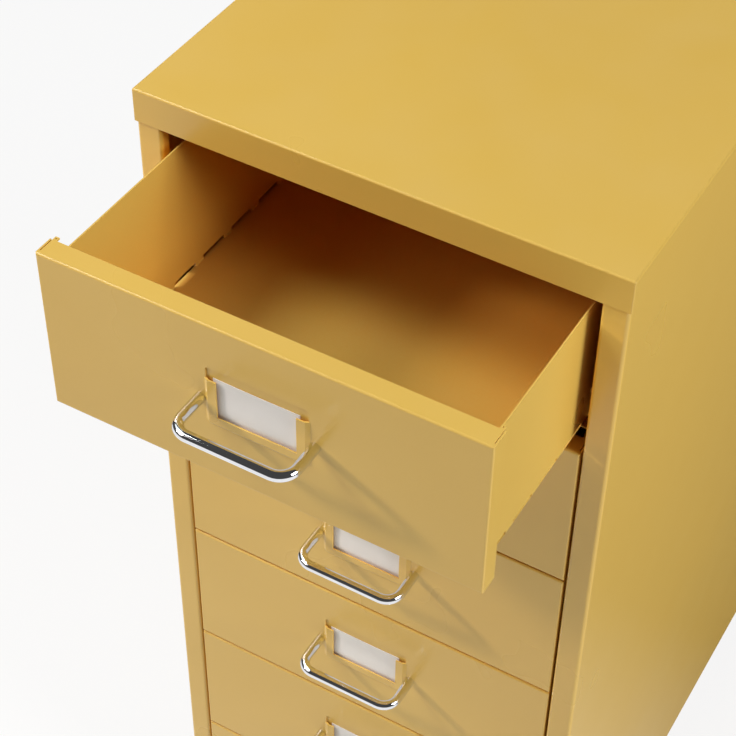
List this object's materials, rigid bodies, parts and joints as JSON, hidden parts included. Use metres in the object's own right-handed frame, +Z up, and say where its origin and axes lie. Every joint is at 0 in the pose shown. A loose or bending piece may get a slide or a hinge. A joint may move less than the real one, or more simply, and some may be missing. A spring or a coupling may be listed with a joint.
{
  "type": "drawer cabinet",
  "caption": "Narrow yellow metal drawer cabinet on casters, with chrome wire handles, pressed label holders and blank cards; the top drawer stands partly open.",
  "frame": {"origin": "middle of the top cover's upper face; the cabinet stands below it", "axes": "+Z up, front and handles face -Y, +X to the right seen from the front"},
  "size_m": [0.28, 0.5636, 0.69],
  "materials": {
    "yellow_paint": "satin powder coat, mustard yellow",
    "runner_steel": "satin powder coat, mustard yellow",
    "chrome_wire": "bright chrome plating",
    "zinc_screws": "zinc plated steel",
    "white_card": "plain matt white card",
    "black_plastic": "moulded black plastic, satin",
    "caster_wheel": "black plastic wheel with a harder grey-black tread"
  },
  "bodies": {
    "cabinet": {"top_cover": "yellow_paint", "left_side_panel": "yellow_paint", "right_side_panel": "yellow_paint", "back_panel": "yellow_paint", "base_panel": "yellow_paint", "left_runners": "runner_steel", "right_runners": "runner_steel", "back_screws": "zinc_screws", "caster_stems": "zinc_screws", "caster_nuts": "zinc_screws"},
    "drawer_1": {"drawer_1_front": "yellow_paint", "drawer_1_tray": "yellow_paint", "drawer_1_handle": "chrome_wire", "drawer_1_handle_screws": "zinc_screws", "drawer_1_label_card": "white_card"},
    "drawer_2": {"drawer_2_front": "yellow_paint", "drawer_2_tray": "yellow_paint", "drawer_2_handle": "chrome_wire", "drawer_2_handle_screws": "zinc_screws", "drawer_2_label_card": "white_card"},
    "drawer_3": {"drawer_3_front": "yellow_paint", "drawer_3_tray": "yellow_paint", "drawer_3_handle": "chrome_wire", "drawer_3_handle_screws": "zinc_screws", "drawer_3_label_card": "white_card"},
    "drawer_4": {"drawer_4_front": "yellow_paint", "drawer_4_tray": "yellow_paint", "drawer_4_handle": "chrome_wire", "drawer_4_handle_screws": "zinc_screws", "drawer_4_label_card": "white_card"},
    "drawer_5": {"drawer_5_front": "yellow_paint", "drawer_5_tray": "yellow_paint", "drawer_5_handle": "chrome_wire", "drawer_5_handle_screws": "zinc_screws", "drawer_5_label_card": "white_card"},
    "drawer_6": {"drawer_6_front": "yellow_paint", "drawer_6_tray": "yellow_paint", "drawer_6_handle": "chrome_wire", "drawer_6_handle_screws": "zinc_screws", "drawer_6_label_card": "white_card"},
    "caster_1": {"caster_1_housing": "black_plastic"},
    "caster_1_rolling": {"caster_1_axle": "zinc_screws", "caster_1_wheels": "caster_wheel"},
    "caster_2": {"caster_2_housing": "black_plastic"},
    "caster_2_rolling": {"caster_2_axle": "zinc_screws", "caster_2_wheels": "caster_wheel"},
    "caster_3": {"caster_3_housing": "black_plastic"},
    "caster_3_rolling": {"caster_3_axle": "zinc_screws", "caster_3_wheels": "caster_wheel"},
    "caster_4": {"caster_4_housing": "black_plastic"},
    "caster_4_rolling": {"caster_4_axle": "zinc_screws", "caster_4_wheels": "caster_wheel"}
  },
  "joints": [
    {"name": "drawer_1_slide", "type": "slide", "parent": "cabinet", "child": "drawer_1", "axis": [0, -1, 0], "range_m": [-0.105, 0.195]},
    {"name": "drawer_2_slide", "type": "slide", "parent": "cabinet", "child": "drawer_2", "axis": [0, -1, 0], "range_m": [0, 0.3]},
    {"name": "drawer_3_slide", "type": "slide", "parent": "cabinet", "child": "drawer_3", "axis": [0, -1, 0], "range_m": [0, 0.3]},
    {"name": "drawer_4_slide", "type": "slide", "parent": "cabinet", "child": "drawer_4", "axis": [0, -1, 0], "range_m": [0, 0.3]},
    {"name": "drawer_5_slide", "type": "slide", "parent": "cabinet", "child": "drawer_5", "axis": [0, -1, 0], "range_m": [0, 0.3]},
    {"name": "drawer_6_slide", "type": "slide", "parent": "cabinet", "child": "drawer_6", "axis": [0, -1, 0], "range_m": [0, 0.3]},
    {"name": "caster_1_swivel", "type": "hinge", "parent": "cabinet", "child": "caster_1", "pos_m": [-0.106, -0.176, -0.657], "axis": [0, 0, 1], "continuous": true},
    {"name": "caster_1_roll", "type": "hinge", "parent": "caster_1", "child": "caster_1_rolling", "pos_m": [-0.106, -0.162, -0.671], "axis": [1, 0, 0], "continuous": true},
    {"name": "caster_2_swivel", "type": "hinge", "parent": "cabinet", "child": "caster_2", "pos_m": [0.106, -0.176, -0.657], "axis": [0, 0, 1], "continuous": true},
    {"name": "caster_2_roll", "type": "hinge", "parent": "caster_2", "child": "caster_2_rolling", "pos_m": [0.106, -0.162, -0.671], "axis": [1, 0, 0], "continuous": true},
    {"name": "caster_3_swivel", "type": "hinge", "parent": "cabinet", "child": "caster_3", "pos_m": [-0.106, 0.176, -0.657], "axis": [0, 0, 1], "continuous": true},
    {"name": "caster_3_roll", "type": "hinge", "parent": "caster_3", "child": "caster_3_rolling", "pos_m": [-0.106, 0.19, -0.671], "axis": [1, 0, 0], "continuous": true},
    {"name": "caster_4_swivel", "type": "hinge", "parent": "cabinet", "child": "caster_4", "pos_m": [0.106, 0.176, -0.657], "axis": [0, 0, 1], "continuous": true},
    {"name": "caster_4_roll", "type": "hinge", "parent": "caster_4", "child": "caster_4_rolling", "pos_m": [0.106, 0.19, -0.671], "axis": [1, 0, 0], "continuous": true}
  ]
}
